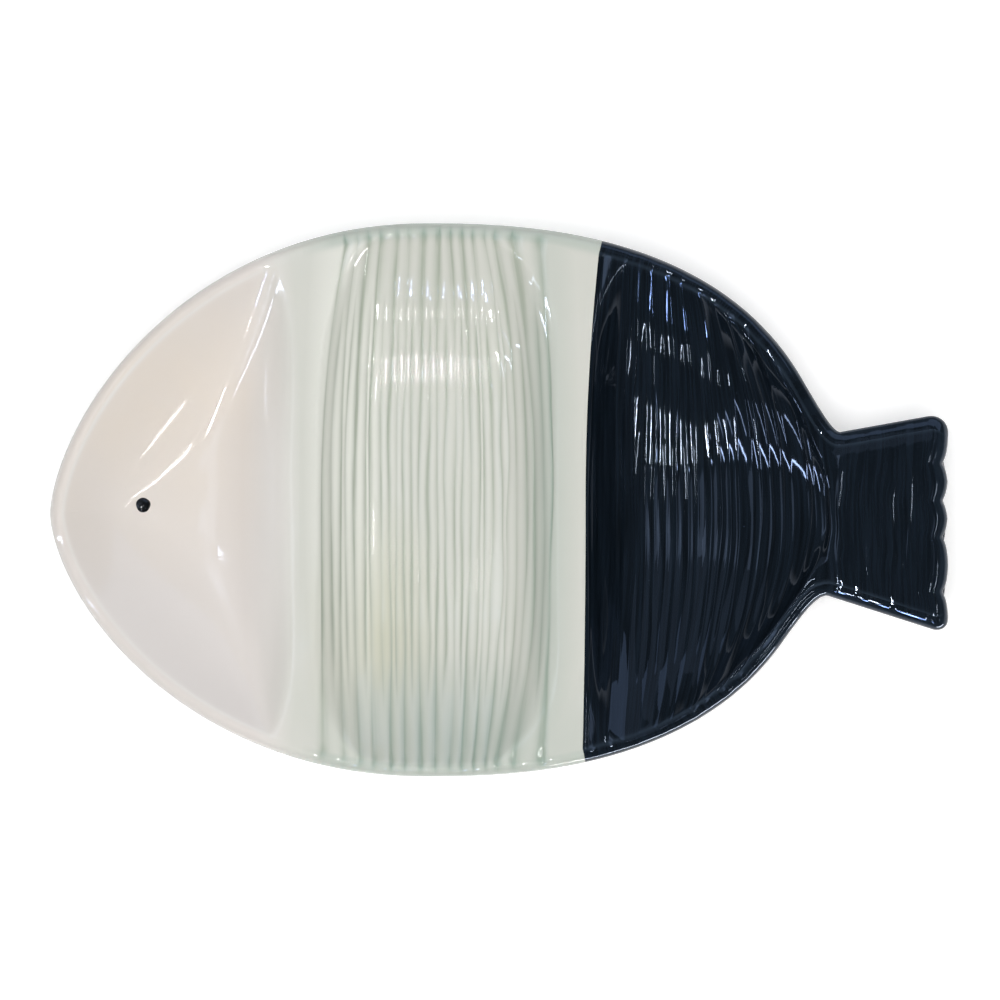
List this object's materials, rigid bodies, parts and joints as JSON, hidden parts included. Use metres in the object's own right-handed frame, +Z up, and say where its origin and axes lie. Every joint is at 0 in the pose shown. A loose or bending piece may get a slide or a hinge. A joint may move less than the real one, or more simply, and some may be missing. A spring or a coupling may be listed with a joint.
{
  "type": "fish shaped platter",
  "caption": "Divided ceramic serving platter in the outline of a fish, with a smooth head bowl, combed middle and rear bowls, a tail fin to hold it by and a bare foot ring.",
  "frame": {"origin": "centre of the bounding box on the table plane", "axes": "+X from the nose to the tail fin, +Y from the belly to the back, +Z up"},
  "size_m": [0.38, 0.234, 0.036],
  "materials": {
    "stoneware": "clear glazed, semi-gloss",
    "bare_foot": "unglazed, matte",
    "white_glaze": "gloss",
    "celadon_glaze": "gloss",
    "navy_glaze": "gloss",
    "black_glaze": "gloss"
  },
  "bodies": {
    "root": {"clay_body": "stoneware", "foot_ring": "bare_foot", "head_glaze": "white_glaze", "middle_glaze": "celadon_glaze", "tail_glaze": "navy_glaze", "eye_spot": "black_glaze"}
  },
  "joints": []
}
